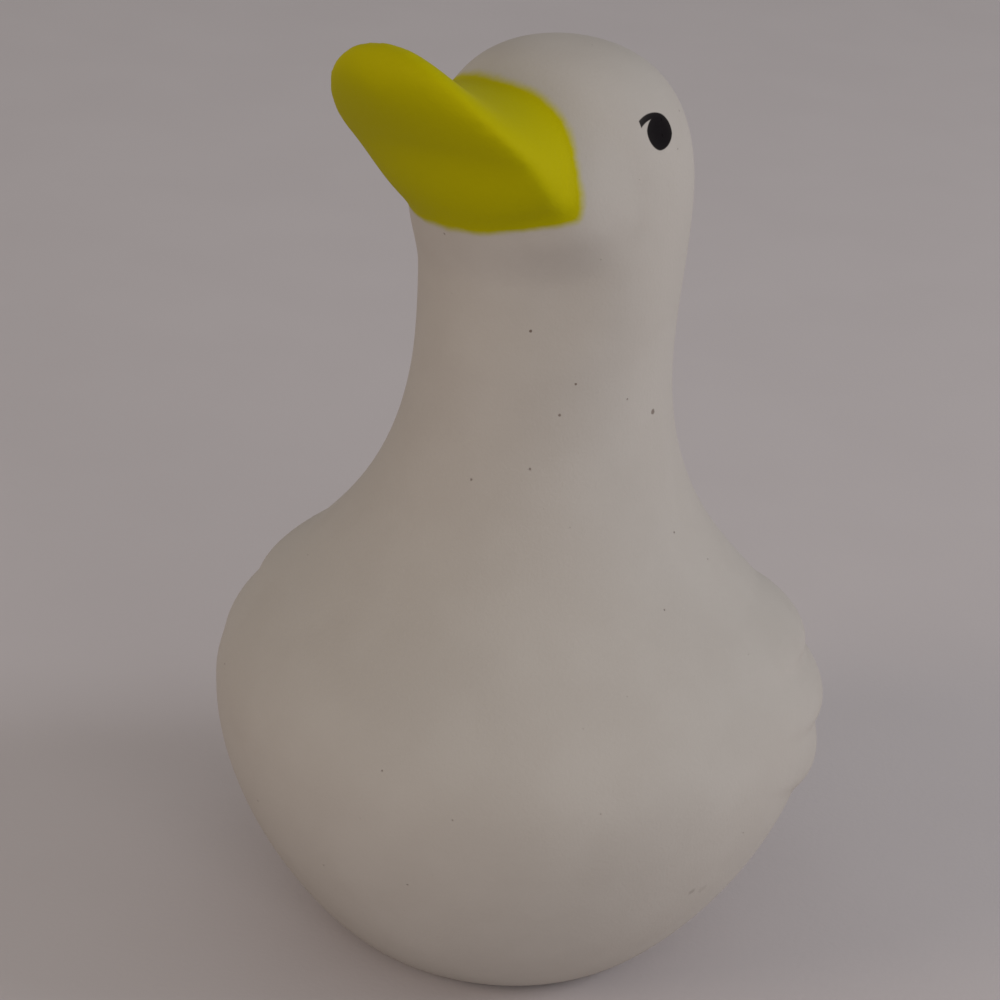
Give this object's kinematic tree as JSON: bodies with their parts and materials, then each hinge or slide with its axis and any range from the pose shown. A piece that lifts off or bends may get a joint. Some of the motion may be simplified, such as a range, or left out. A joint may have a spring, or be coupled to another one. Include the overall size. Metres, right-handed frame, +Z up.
{
  "type": "duck figurine",
  "caption": "Moulded standing duck figurine with a round belly on a flat foot, a long neck, a broad upturned bill turned to one side, wings in low relief and a short tail.",
  "frame": {"origin": "centre of the flat foot, on the surface that the duck stands on", "axes": "+Z up along the neck, the chest faces -Y, the duck's left side is +X"},
  "size_m": [0.0624, 0.0695, 0.0961],
  "materials": {
    "skin": "matte"
  },
  "bodies": {
    "root": {"duck": "skin"}
  },
  "joints": []
}
